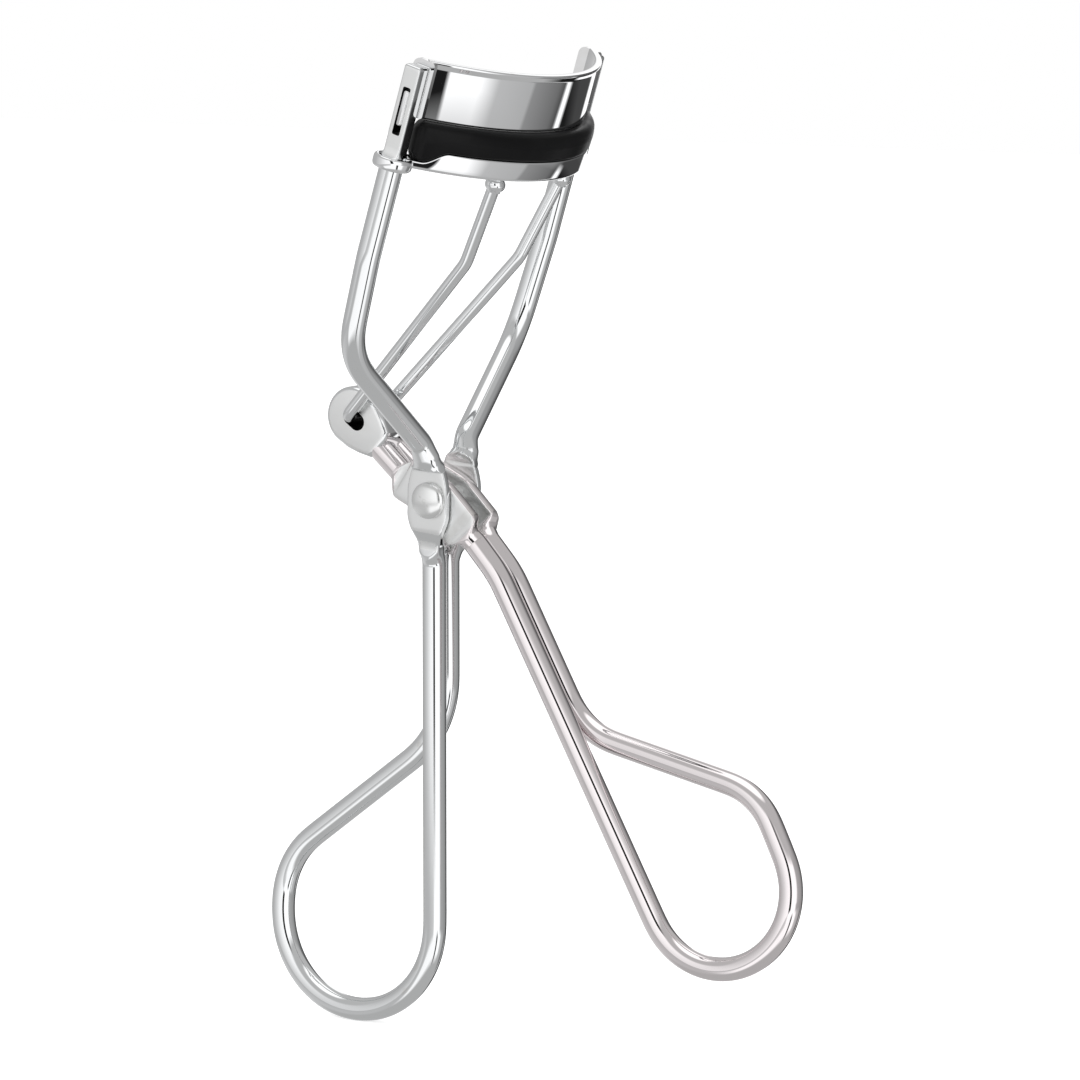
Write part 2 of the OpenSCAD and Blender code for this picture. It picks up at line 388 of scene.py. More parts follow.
class ShaderGroups:
    """Node groups shared by the finishes, each made once."""

    @staticmethod
    def begin(name: str, inputs: dict[str, float], outputs: Sequence[str]) -> bpy.types.NodeTree:
        """Open a new group with number inputs and number outputs.

        Args:
            name: The group's name.
            inputs: Names and values of its inputs.
            outputs: Names of its outputs.

        Returns:
            The new group.
        """
        tree = bpy.data.node_groups.new(name, "ShaderNodeTree")
        for label, value in inputs.items():
            socket = tree.interface.new_socket(label, in_out="INPUT",
                                               socket_type="NodeSocketFloat")
            socket.default_value = value
        for label in outputs:
            tree.interface.new_socket(label, in_out="OUTPUT", socket_type="NodeSocketFloat")
        return tree

    @classmethod
    def scratches(cls) -> bpy.types.NodeTree:
        """Fine hairlines that cross in two directions.

        Returns:
            The group, with a mask and a height.
        """
        existing = bpy.data.node_groups.get("fine scratches")
        if existing:
            return existing
        tree = cls.begin("fine scratches", {"Scale": 600.0, "Amount": 0.5}, ["Mask", "Height"])
        nodes, links = tree.nodes, tree.links
        given = nodes.new("NodeGroupInput")
        result = nodes.new("NodeGroupOutput")
        place = nodes.new("ShaderNodeTexCoord")
        total = None
        for turn in ((0.4, 0.2, 0.9), (1.3, 0.8, -0.5)):
            mapping = nodes.new("ShaderNodeMapping")
            mapping.inputs["Rotation"].default_value = turn
            mapping.inputs["Scale"].default_value = (1.0, 0.06, 1.0)
            noise = nodes.new("ShaderNodeTexNoise")
            noise.inputs["Detail"].default_value = 3.0
            sharpen = nodes.new("ShaderNodeMapRange")
            sharpen.inputs["From Min"].default_value = 0.62
            sharpen.inputs["From Max"].default_value = 0.72
            links.new(place.outputs["Object"], mapping.inputs["Vector"])
            links.new(mapping.outputs["Vector"], noise.inputs["Vector"])
            links.new(given.outputs["Scale"], noise.inputs["Scale"])
            links.new(noise.outputs["Fac"], sharpen.inputs["Value"])
            line = sharpen.outputs["Result"]
            total = line if total is None else math_node(tree, "MAXIMUM", total, line)
        mask = math_node(tree, "MULTIPLY", total, given.outputs["Amount"])
        links.new(mask, result.inputs["Mask"])
        links.new(math_node(tree, "SUBTRACT", 1.0, mask), result.inputs["Height"])
        return tree

    @classmethod
    def smudges(cls) -> bpy.types.NodeTree:
        """Broad soft patches, as handling leaves on a bright surface.

        Returns:
            The group, with a mask.
        """
        existing = bpy.data.node_groups.get("soft smudges")
        if existing:
            return existing
        tree = cls.begin("soft smudges", {"Scale": 90.0, "Low": 0.45, "High": 0.8}, ["Mask"])
        nodes, links = tree.nodes, tree.links
        given = nodes.new("NodeGroupInput")
        result = nodes.new("NodeGroupOutput")
        place = nodes.new("ShaderNodeTexCoord")
        noise = nodes.new("ShaderNodeTexNoise")
        noise.inputs["Detail"].default_value = 5.0
        noise.inputs["Distortion"].default_value = 0.6
        span = nodes.new("ShaderNodeMapRange")
        links.new(place.outputs["Object"], noise.inputs["Vector"])
        links.new(given.outputs["Scale"], noise.inputs["Scale"])
        links.new(noise.outputs["Fac"], span.inputs["Value"])
        links.new(given.outputs["Low"], span.inputs["From Min"])
        links.new(given.outputs["High"], span.inputs["From Max"])
        links.new(span.outputs["Result"], result.inputs["Mask"])
        return tree

    @classmethod
    def edge_wear(cls) -> bpy.types.NodeTree:
        """Worn edges, where the surface is sharply convex.

        Returns:
            The group, with a mask.
        """
        existing = bpy.data.node_groups.get("edge wear")
        if existing:
            return existing
        tree = cls.begin("edge wear", {"Start": 0.53, "Full": 0.62, "Breakup": 900.0}, ["Mask"])
        nodes, links = tree.nodes, tree.links
        given = nodes.new("NodeGroupInput")
        result = nodes.new("NodeGroupOutput")
        shape = nodes.new("ShaderNodeNewGeometry")
        place = nodes.new("ShaderNodeTexCoord")
        noise = nodes.new("ShaderNodeTexNoise")
        span = nodes.new("ShaderNodeMapRange")
        links.new(shape.outputs["Pointiness"], span.inputs["Value"])
        links.new(given.outputs["Start"], span.inputs["From Min"])
        links.new(given.outputs["Full"], span.inputs["From Max"])
        links.new(place.outputs["Object"], noise.inputs["Vector"])
        links.new(given.outputs["Breakup"], noise.inputs["Scale"])
        broken = math_node(tree, "MULTIPLY", span.outputs["Result"], noise.outputs["Fac"])
        links.new(broken, result.inputs["Mask"])
        return tree


def place_group(tree: bpy.types.NodeTree, group: bpy.types.NodeTree,
                values: dict[str, float]) -> bpy.types.Node:
    """Put a shared group in a material with its own values.

    Args:
        tree: Tree to add the nodes to.
        group: The shared group.
        values: Values for its inputs.

    Returns:
        The group's node.
    """
    node = tree.nodes.new("ShaderNodeGroup")
    node.node_tree = group
    for label, value in values.items():
        node.inputs[label].default_value = value
    return node


def mix_colour(tree: bpy.types.NodeTree, mask: bpy.types.NodeSocket,
               one: Sequence[float], two: Sequence[float]) -> bpy.types.NodeSocket:
    """Mix two colours by a mask and return the result's socket.

    Args:
        tree: Tree to add the nodes to.
        mask: A mask from 0 to 1.
        one: Colour where the mask is 0.
        two: Colour where the mask is 1.

    Returns:
        The result's socket.
    """
    mix = tree.nodes.new("ShaderNodeMix")
    mix.data_type = "RGBA"
    mix.inputs["A"].default_value = (*one, 1)
    mix.inputs["B"].default_value = (*two, 1)
    tree.links.new(mask, mix.inputs["Factor"])
    return mix.outputs["Result"]


def ramp_value(tree: bpy.types.NodeTree, mask: bpy.types.NodeSocket, low: float,
               high: float) -> bpy.types.NodeSocket:
    """Map a 0 to 1 mask to a span of values and return the result's socket.

    Args:
        tree: Tree to add the nodes to.
        mask: A mask from 0 to 1.
        low: Value where the mask is 0.
        high: Value where the mask is 1.

    Returns:
        The result's socket.
    """
    span = tree.nodes.new("ShaderNodeMapRange")
    span.inputs["To Min"].default_value = low
    span.inputs["To Max"].default_value = high
    tree.links.new(mask, span.inputs["Value"])
    return span.outputs["Result"]


def add_bump(tree: bpy.types.NodeTree, shader: bpy.types.Node, height: bpy.types.NodeSocket,
             strength: float, distance: float) -> None:
    """Raise a shader's surface by a height.

    Args:
        tree: The material's nodes.
        shader: The shader.
        height: The height.
        strength: How strongly it shows.
        distance: How far it reaches, in metres.
    """
    bump = tree.nodes.new("ShaderNodeBump")
    bump.inputs["Strength"].default_value = strength
    bump.inputs["Distance"].default_value = distance
    tree.links.new(height, bump.inputs["Height"])
    tree.links.new(bump.outputs["Normal"], shader.inputs["Normal"])


@dataclass(frozen=True)
class Plating:
    """Bright plated metal with hairlines, smudges and worn edges."""

    name: str
    colour: tuple[float, float, float]
    worn: tuple[float, float, float]
    roughness: float = 0.045
    smudge_roughness: float = 0.07
    scratch_amount: float = 0.3
    scratch_scale: float = 2600.0
    bump: float = 0.012

    def material(self) -> bpy.types.Material:
        """Return the finish's material, made on first use.

        Returns:
            The material.
        """
        existing = bpy.data.materials.get(self.name)
        if existing:
            return existing
        material = bpy.data.materials.new(self.name)
        material.use_nodes = True
        tree = material.node_tree
        shader = tree.nodes["Principled BSDF"]
        shader.inputs["Metallic"].default_value = 1.0
        hairs = place_group(tree, ShaderGroups.scratches(),
                            {"Scale": self.scratch_scale, "Amount": self.scratch_amount})
        marks = place_group(tree, ShaderGroups.smudges(), {"Scale": 110.0})
        edges = place_group(tree, ShaderGroups.edge_wear(), {"Breakup": 1200.0})
        colour = mix_colour(tree, edges.outputs["Mask"], self.colour, self.worn)
        tree.links.new(colour, shader.inputs["Base Color"])
        base = ramp_value(tree, marks.outputs["Mask"], self.roughness, self.smudge_roughness)
        hair = ramp_value(tree, hairs.outputs["Mask"], 0.0, 0.06)
        tree.links.new(math_node(tree, "ADD", base, hair), shader.inputs["Roughness"])
        add_bump(tree, shader, hairs.outputs["Height"], self.bump, 0.00002)
        return material


@dataclass(frozen=True)
class MouldedRubber:
    """Satin black silicone with a fine grain and a little lint."""

    name: str
    colour: tuple[float, float, float]
    dusty: tuple[float, float, float]

    def material(self) -> bpy.types.Material:
        """Return the finish's material, made on first use.

        Returns:
            The material.
        """
        existing = bpy.data.materials.get(self.name)
        if existing:
            return existing
        material = bpy.data.materials.new(self.name)
        material.use_nodes = True
        tree = material.node_tree
        shader = tree.nodes["Principled BSDF"]
        shader.inputs["Specular IOR Level"].default_value = 0.15
        marks = place_group(tree, ShaderGroups.smudges(),
                            {"Scale": 240.0, "Low": 0.5, "High": 0.85})
        hairs = place_group(tree, ShaderGroups.scratches(), {"Scale": 1400.0, "Amount": 0.5})
        grain = tree.nodes.new("ShaderNodeTexNoise")
        grain.inputs["Scale"].default_value = 5200.0
        grain.inputs["Detail"].default_value = 4.0
        place = tree.nodes.new("ShaderNodeTexCoord")
        tree.links.new(place.outputs["Object"], grain.inputs["Vector"])
        colour = mix_colour(tree, marks.outputs["Mask"], self.colour, self.dusty)
        tree.links.new(colour, shader.inputs["Base Color"])
        base = ramp_value(tree, marks.outputs["Mask"], 0.34, 0.48)
        hair = ramp_value(tree, hairs.outputs["Mask"], 0.0, 0.1)
        tree.links.new(math_node(tree, "ADD", base, hair), shader.inputs["Roughness"])
        add_bump(tree, shader, grain.outputs["Fac"], 0.12, 0.00003)
        return material


CHROME = Plating("bright chrome", (0.80, 0.81, 0.815), (0.70, 0.69, 0.67))
WARM_CHROME = Plating("warm chrome", (0.83, 0.785, 0.79), (0.72, 0.68, 0.66))
PRESSED = Plating("pressed chrome", (0.86, 0.865, 0.86), (0.72, 0.72, 0.70),
                  roughness=0.30, smudge_roughness=0.36, scratch_amount=0.4, bump=0.04)
DOMED = Plating("domed chrome", (0.86, 0.865, 0.86), (0.72, 0.72, 0.70),
                roughness=0.2, smudge_roughness=0.26, bump=0.03)
SHEET = Plating("sheet chrome", (0.82, 0.825, 0.83), (0.70, 0.69, 0.68),
                roughness=0.02, smudge_roughness=0.035, scratch_amount=0.25)
# Near-black rough metal put on the slot and eye walls: painted shade in the recesses.
PAINTED_RECESS_SHADE = Plating("painted recess shade", (0.035, 0.035, 0.036), (0.10, 0.10, 0.10),
                 roughness=0.45, smudge_roughness=0.6, bump=0.1)
RUBBER = MouldedRubber("black silicone", (0.0015, 0.0015, 0.0017), (0.004, 0.004, 0.0042))


def dress(obj: bpy.types.Object, finish: Plating | MouldedRubber, body: Body,
          replaced: Sequence[str] = ()) -> None:
    """Give a piece its finish and its body, and hide the CAD nodes it stands for.

    Args:
        obj: The piece.
        finish: Its finish.
        body: Body that the piece moves with.
        replaced: CAD nodes that the piece stands for.
    """
    obj.data.materials.clear()
    obj.data.materials.append(finish.material())
    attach(obj, body.value)
    if replaced:
        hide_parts(*replaced)
    LOG.info("%s: %d faces on %s", obj.name, len(obj.data.polygons), body.value)


# ---------------------------------------------------------------- shared layout

@dataclass(frozen=True)
class Layout:
    """Places that more than one sub-assembly uses."""

    wire_r: float = 1.29
    strand_y: float = 1.35
    cheek_y: float = 3.15
    cheek_face: float = 3.6
    arm_y: float = 17.6
    arm_q: float = -6.455
    lean: float = math.radians(17)
    jaw_r: float = 22.3
    jaw_q: float = 0.8

    def slide(self, q: float, y: float, r: float) -> Vector:
        """Return a point given forward of, across and along the jaw's slide."""
        c, s = math.cos(self.lean), math.sin(self.lean)
        return Vector((q * c + r * s, y, r * c - q * s))

    def along_slide(self, p: Vector) -> float:
        """Return how far up the slide a point stands."""
        return p.x * math.sin(self.lean) + p.z * math.cos(self.lean)

    def slide_axis(self) -> Vector:
        """Return the direction of the slide."""
        return Vector((math.sin(self.lean), 0, math.cos(self.lean)))

    def on_curve(self, radius: float, angle: float, r: float) -> Vector:
        """Return a point on the jaws' curve.

        Args:
            radius: Distance from the curve's centre.
            angle: Turn from the middle, in radians, positive to the far side.
            r: Height along the slide.

        Returns:
            The point.
        """
        q = self.jaw_q - self.jaw_r + radius * math.cos(angle)
        return self.slide(q, radius * math.sin(angle), r)


LAYOUT = Layout()


def curve_sweep(bm: bmesh.types.BMesh, profile: Callable[[float], list[Point2]],
                half_deg: float, count: int) -> None:
    """Sweep a profile along the jaws' curve.

    Args:
        bm: Mesh to add to.
        profile: Gives the radius and height points at an angle in degrees.
        half_deg: How far the sweep turns each side.
        count: Steps along the sweep.
    """
    rings = []
    for i in range(count + 1):
        angle = -half_deg + 2 * half_deg * i / count
        rings.append([LAYOUT.on_curve(radius, math.radians(angle), height)
                      for radius, height in profile(angle)])
    add_rings(bm, rings)


def rounded(points: Sequence[Point2], radii: Sequence[float], steps: int = 5) -> list[Point2]:
    """Round the corners of a closed outline.

    Args:
        points: Corners of the outline.
        radii: A radius for each corner.
        steps: Stretches along each bend.

    Returns:
        The rounded outline.
    """
    out: list[Point2] = []
    count = len(points)
    for i, radius in enumerate(radii):
        a, b, c = (Vector((*points[(i + k) % count], 0)) for k in (-1, 0, 1))
        out += [(p.x, p.y) for p in fillet(a, b, c, radius, steps)]
    return out


# ---------------------------------------------------------------- sub-assemblies

@dataclass
class FrameHandle:
    """The fixed handle: one wire from arm end to arm end, by way of the finger loop."""

    strand_x: float = -0.85
    loop_w: float = 21.3
    loop_z: float = 57.38
    bend: tuple[float, float, float] = (-1.67, 16.7, 16.6)
    cheek_half_w: float = 2.5
    cheek_t: float = 0.9
    post_low: float = 37.9
    post_top: float = 47.6
    post_half: tuple[float, float] = (0.85, 1.0)
    slot: tuple[float, float, float] = (0.95, 40.0, 45.2)
    arm_bend_r: float = 26.45
    loop_top_z: float = -41.8
    cross_z: float = -25.8
    arm_from_y: float = 8.4
    near_radii: tuple[float, ...] = (0, 20, 8, 2.4, 1, 0.8, 6, 1, 2)
    upper_fade: Point2 = (3.2, 4.1)
    upper_taper: Point2 = (0.8, 6.2)
    lower_fade: Point2 = (4.6, 6.0)
    lower_taper: Point2 = (1.6, 5.4)
    cheek_zone: tuple[float, float, float] = (5.6, 2.4, 3.8)

    def near_corners(self) -> list[Vector]:
        """Return the near side's corners, from the arm's end down to the strand.

        Returns:
            The corners.
        """
        lay = LAYOUT
        return [
            lay.slide(lay.arm_q, -lay.arm_y, self.post_top),
            lay.slide(lay.arm_q, -lay.arm_y, self.arm_bend_r),
            Vector((self.bend[0], -self.bend[1], self.bend[2])),
            Vector((-0.45, -4.5, 6.2)),
            Vector((-0.2, -3.9, 4.6)),
            Vector((-0.35, -lay.cheek_y, 3.2)),
            Vector((-0.4, -lay.cheek_y, 0.0)),
            Vector((-0.5, -lay.cheek_y, -3.3)),
            Vector((self.strand_x, -lay.strand_y, -6.9)),
        ]

    def path(self) -> list[Vector]:
        """Return the wire's whole route.

        Returns:
            The route's points.
        """
        near = self.near_corners()
        near_radii = list(self.near_radii)
        left = self.strand_x - self.loop_w
        y = LAYOUT.strand_y
        loop = [
            Vector((self.strand_x, -y, -self.loop_z)),
            Vector((left, -0.4, -self.loop_z)),
            Vector((left, 1.0, self.loop_top_z)),
            Vector((self.strand_x, y, self.cross_z)),
        ]
        half = self.loop_w / 2 - 0.05
        far = [flip(p) for p in reversed(near)]
        corners = near + loop + far
        radii = near_radii + [half, half, 9, 12] + list(reversed(near_radii))
        return route(corners, radii)

    def section(self, p: Vector) -> Section:
        """Return the wire's section: round, pressed flat at the cheeks, square at the ends.

        Args:
            p: A point, in millimetres.

        Returns:
            Half thickness, half width and squareness.
        """
        r = LAYOUT.wire_r
        high = smooth(self.post_low - 0.5, self.post_low, LAYOUT.along_slide(p))
        if high > 0:
            return (r + high * (self.post_half[0] - r), r + high * (self.post_half[1] - r),
                    ROUND + 9 * high)
        if abs(p.y) > self.arm_from_y:
            return (r, r, ROUND)
        fade, taper = ((self.upper_fade, self.upper_taper) if p.z > 0
                       else (self.lower_fade, self.lower_taper))
        flat = 1 - smooth(*fade, abs(p.z))
        width = r + (self.cheek_half_w - r) * (1 - smooth(*taper, abs(p.z)))
        return (r + flat * (self.cheek_t / 2 - r), width, ROUND + 6 * flat)

    def build(self) -> bpy.types.Object:
        """Build the wire, cut the slots in its ends and dress it.

        Returns:
            The wire.
        """
        bm = bmesh.new()
        Bar(self.path(), self.section, Vector((0, 1, 0)), sides=48, end_round=0.35).build(bm)
        wire = new_object("frame_handle_wire", bm)
        for side in (-1, 1):
            cutter = bmesh.new()
            width, low, top = self.slot
            lay = LAYOUT
            rings = []
            for y in (lay.arm_y - 2.2, lay.arm_y + 2.2):
                outline = rounded([(lay.arm_q - width / 2, low), (lay.arm_q + width / 2, low),
                                   (lay.arm_q + width / 2, top), (lay.arm_q - width / 2, top)],
                                  [0.2] * 4)
                rings.append([lay.slide(q, side * y, r) for q, r in outline])
            add_rings(cutter, rings)
            carve(wire, cutter)
        dress(wire, CHROME, Body.FRAME, ["frame_wire"])
        wire.data.materials.append(PRESSED.material())
        wire.data.materials.append(PAINTED_RECESS_SHADE.material())
        self.press_faces(wire)
        return wire

    def press_faces(self, wire: bpy.types.Object) -> None:
        """Give the pressed flats and the squared ends the duller pressed finish, and the slot walls
        the near-black painted shade.

        Args:
            wire: The finished wire.
        """
        for face in wire.data.polygons:
            p = face.center / MM
            sideways = abs(face.normal.y) > SIDEWAYS
            reach, inner, outer = self.cheek_zone
            cheek = abs(p.z) < reach and inner < abs(p.y) < outer
            post = LAYOUT.along_slide(p) > self.post_low - 0.2
            if sideways and (cheek or post):
                face.material_index = PRESSED_INDEX
            # The slot walls get the near-black painted shade.
            if post and self.in_slot(p):
                face.material_index = PAINTED_SHADE_INDEX

    def in_slot(self, p: Vector) -> bool:
        """Say whether a point lies on the wall of a slot.

        Args:
            p: A point, in millimetres.

        Returns:
            True on the wall of a slot.
        """
        lay = LAYOUT
        width, low, top = self.slot
        along = lay.along_slide(p)
        q = p.x * math.cos(lay.lean) - p.z * math.sin(lay.lean)
        within = abs(q - lay.arm_q) < width / 2 + NEAR_WALL
        within = within and low - NEAR_WALL < along < top + NEAR_WALL
        return within and abs(abs(p.y) - lay.arm_y) < self.post_half[0] - 0.02


@dataclass
class LeverHandle:
    """The moving handle: one wire bent double, with the link's eye in its boss."""

    spread: float = math.radians(28.8)
    foot: tuple[float, float, float] = (2.35, 0, 1.26)
    loop_w: float = 16.88
    loop_s: float = 59.8
    eye_r: float = 13.64
    eye_deg: float = 142
    eye_hole: float = 0.95
    eye_travel: tuple[float, float, float] = (0.78, 0, -0.56)
    boss_r: float = 3.25
    boss_half_y: float = 2.68
    lug_y: float = 1.9
    lug_t: float = 1.3
    lug_half_w: float = 2.4
    lug_fade: Point2 = (4.4, 5.5)
    loop_top_s: float = 44.1
    cross_s: float = 29.4
    near_radii: tuple[float, ...] = (0, 0.8, 0.8, 4, 0.8, 0.8, 14)
    shoulders: tuple[Point2, ...] = ((1.8, 3.0), (3.2, 2.5), (4.6, 1.8), (4.9, 0.9))

    def eye(self) -> Vector:
        """Return the middle of the eye."""
        a = math.radians(self.eye_deg)
        return Vector((self.eye_r * math.cos(a), 0, self.eye_r * math.sin(a)))

    def at(self, s: float, w: float, y: float) -> Vector:
        """Return a point along, outward of and across the handle."""
        sin, cos = math.sin(self.spread), math.cos(self.spread)
        return Vector(self.foot) + Vector((s * sin + w * cos, y, w * sin - s * cos))

    def path(self) -> list[Vector]:
        """Return the wire's whole route, from boss to boss.

        Returns:
            The route's points.
        """
        y, lug = LAYOUT.strand_y, self.lug_y
        near = [
            Vector((-8.6, -y, 5.7)),
            Vector((-5.1, -y, 2.6)),
            Vector((-3.9, -lug, 1.8)),
            Vector((0, -lug, 0)),
            Vector((3.3, -lug, -3.3)),
            Vector((4.4, -y, -4.6)),
            Vector((7.4, -y, -7.9)),
        ]
        near_radii = list(self.near_radii)
        loop = [
            self.at(self.loop_s, 0, -y),
            self.at(self.loop_s, self.loop_w, -0.4),
            self.at(self.loop_top_s, self.loop_w, 1.0),
            self.at(self.cross_s, 0, y),
        ]
        half = self.loop_w / 2 - 0.05
        corners = near + loop + [flip(p) for p in reversed(near)]
        radii = near_radii + [half, half, 8, 8.5] + list(reversed(near_radii))
        return route(corners, radii)

    def section(self, p: Vector) -> Section:
        """Return the wire's section: round, and pressed flat at the rivet.

        Args:
            p: A point, in millimetres.

        Returns:
            Half thickness, half width and squareness.
        """
        r = LAYOUT.wire_r
        flat = 1 - smooth(*self.lug_fade, math.hypot(p.x, p.z))
        return (r + flat * (self.lug_t / 2 - r), r + flat * (self.lug_half_w - r),
                ROUND + 5 * flat)

    def boss(self, bm: bmesh.types.BMesh) -> None:
        """Add the pressed boss: flat cheeks, a round nose and soft shoulders.

        Args:
            bm: Mesh to add to.
        """
        centre = self.eye()
        down = math.atan2(-centre.z - 0.6, -centre.x - 0.2)
        outline = []
        for k in range(25):
            a = down + math.pi / 2 + math.pi * k / 24
            outline.append((self.boss_r * math.cos(a), self.boss_r * math.sin(a)))
        run = Vector((math.cos(down), math.sin(down)))
        side = Vector((-run.y, run.x))
        shoulders = [(reach, -half) for reach, half in self.shoulders]
        for reach, half in shoulders + list(reversed(self.shoulders)):
            p = run * reach + side * half
            outline.append((p.x, p.y))
        steps = 6
        soft = 0.55
        rings = []
        for end in (-1, 1):
            layer = []
            for k in range(steps + 1):
                a = math.pi / 2 * k / steps
                less = soft * (1 - math.cos(a)) if end > 0 else soft * (1 - math.sin(a))
                rise = self.boss_half_y - soft + soft * math.sin(a)
                if end < 0:
                    rise = self.boss_half_y - soft + soft * math.cos(a)
                layer.append((less, end * rise))
            for less, y in layer:
                shrink = 1 - less / self.boss_r
                rings.append([centre + Vector((x * shrink, y, z * shrink)) for x, z in outline])
        add_rings(bm, rings)

    def build(self) -> bpy.types.Object:
        """Build the wire and its boss, cut the eye and dress the piece.

        Returns:
            The wire.
        """
        bm = bmesh.new()
        Bar(self.path(), self.section, Vector((0, 1, 0)), sides=48).build(bm)
        wire = new_object("lever_handle_wire", bm)
        boss_bm = bmesh.new()
        self.boss(boss_bm)
        boss = new_object("lever_boss", boss_bm)
        for obj in (wire, boss):
            cutter = bmesh.new()
            rings = []
            for y in (-4, 4):
                rings.append([self.eye() + Vector((x, y, z)) for x, z in self.eye_outline()])
            add_rings(cutter, rings)
            carve(obj, cutter)
        dress(wire, WARM_CHROME, Body.LEVER, ["lever_wire"])
        dress(boss, CHROME, Body.LEVER)
        for obj in (wire, boss):
            obj.data.materials.append(PRESSED.material())
            obj.data.materials.append(PAINTED_RECESS_SHADE.material())
            for face in obj.data.polygons:
                p = face.center / MM
                lug = math.hypot(p.x, p.z) < 5.4
                nose = obj is boss
                if abs(face.normal.y) > SIDEWAYS and (lug or nose):
                    face.material_index = PRESSED_INDEX
                # The eye walls get the near-black painted shade.
                if self.in_eye(p):
                    face.material_index = PAINTED_SHADE_INDEX
        return wire

    def in_eye(self, p: Vector) -> bool:
        """Say whether a point lies on the wall of the eye.

        Args:
            p: A point, in millimetres.

        Returns:
            True on the wall of the eye.
        """
        run = Vector(self.eye_travel)
        rel = Vector((p.x, 0, p.z)) - self.eye()
        k = min(1.0, max(0.0, rel.dot(run) / run.length_squared))
        inside = (rel - run * k).length < self.eye_hole + NEAR_WALL
        return inside and abs(p.y) < self.boss_half_y - 0.02

    def eye_outline(self) -> list[Point2]:
        """Return the long eye's outline about its middle.

        Returns:
            The outline, as X and Z.
        """
        tx, _, tz = self.eye_travel
        lean = math.atan2(tz, tx)
        outline = []
        for k in range(17):
            a = lean - math.pi / 2 + math.pi * k / 16
            outline.append((tx + self.eye_hole * math.cos(a), tz + self.eye_hole * math.sin(a)))
        for k in range(17):
            a = lean + math.pi / 2 + math.pi * k / 16
            outline.append((self.eye_hole * math.cos(a), self.eye_hole * math.sin(a)))
        return outline


@dataclass
class PivotRivet:
    """The rivet at the crossing, with a domed factory head and a set head."""

    shank_r: float = 1.2
    head_r: float = 2.0
    set_r: float = 1.8

    def build(self) -> bpy.types.Object:
        """Build the rivet as one turned piece.

        Returns:
            The rivet.
        """
        bm = bmesh.new()
        face = LAYOUT.cheek_face
        profile = [(0.001, -face - 1.1)]
        profile += [(self.head_r * math.sin(a), -face - 0.35 - 0.75 * math.cos(a))
                    for a in (math.radians(d) for d in range(6, 91, 4))]
        profile += [(self.head_r, -face - 0.06), (self.head_r - 0.06, -face),
                    (self.shank_r, -face), (self.shank_r, face), (self.set_r - 0.05, face),
                    (self.set_r, face + 0.05)]
        profile += [(self.set_r * math.cos(a), face + 0.2 + 0.4 * math.sin(a))
                    for a in (math.radians(d) for d in range(0, 85, 7))]
        profile += [(0.001, face + 0.6)]
        lathe(bm, profile, Vector((0, 0, 0)), Vector((0, 1, 0)), 64)
        rivet = new_object("rivet", bm, crease_deg=50)
        dress(rivet, DOMED, Body.FRAME, ["pivot_rivet"])
        return rivet


@dataclass
class UpperBand:
    """The fixed curved band with its rolled rim, turned ends and tabs."""

    low: float = 42.0
    height: float = 6.3
    sheet: float = 0.5
    half_deg: float = 46.5
    plate_y: float = 16.4
    plate_back: float = 1.1
    plate_l: float = 2.65
    tab: Point2 = (41.1, 44.9)

    def profile(self, angle: float) -> list[Point2]:
        """Return the band's section, with the rim rolled forward at the top.

        Args:
            angle: Angle from the middle, in degrees.

        Returns:
            Radius and height points.
        """
        inner = LAYOUT.jaw_r - self.sheet / 2
        outer = LAYOUT.jaw_r + self.sheet / 2
        top = self.low + self.height
        return rounded(
            [(inner, self.low), (outer, self.low), (outer, top - 0.75),
             (outer + 0.32, top - 0.28), (outer + 0.32, top), (inner + 0.05, top)],
            [0.15, 0.2, 0.35, 0.18, 0.12, 0.12], 4)

    def end_plate(self, bm: bmesh.types.BMesh, side: int) -> None:
        """Add one turned end that lies beside the arm, and the tab through its slot.

        Args:
            bm: Mesh to add to.
            side: -1 for the near side, 1 for the far side.
        """
        lay = LAYOUT
        top = self.low + self.height - 0.02
        back = lay.arm_q - self.plate_back
        front = back + self.plate_l
        outline = rounded([(back, self.low + 0.1), (front, self.low + 0.1), (front, top - 0.1),
                           (back, top)], [0.3, 0.3, 0.4, 0.8], 6)
        rings = [[lay.slide(q, side * y, r) for q, r in outline]
                 for y in (self.plate_y - 0.28, self.plate_y + 0.28)]
        add_rings(bm, rings)
        tab_low, tab_top = self.tab
        tab = rounded([(lay.arm_q - 0.1, tab_low), (lay.arm_q + 0.46, tab_low),
                       (lay.arm_q + 0.46, tab_top), (lay.arm_q - 0.1, tab_top)], [0.2] * 4, 4)
        middle = Vector((lay.arm_q + 0.18, (tab_low + tab_top) / 2))
        rings = []
        for y, scale in ((self.plate_y, 1.0), (lay.arm_y + 0.95, 1.0), (lay.arm_y + 1.12, 0.85),
                         (lay.arm_y + 1.18, 0.5)):
            rings.append([lay.slide(middle.x + (q - middle.x) * scale, side * y,
                                    middle.y + (r - middle.y) * (0.9 + 0.1 * scale))
                          for q, r in tab])
        add_rings(bm, rings)

    def build(self) -> bpy.types.Object:
        """Build the band and both ends as one pressed piece.

        Returns:
            The band.
        """
        bm = bmesh.new()
        curve_sweep(bm, self.profile, self.half_deg, 180)
        for side in (-1, 1):
            self.end_plate(bm, side)
        band = new_object("curved_upper_band", bm, crease_deg=45)
        dress(band, SHEET, Body.FRAME, ["upper_band"])
        return band


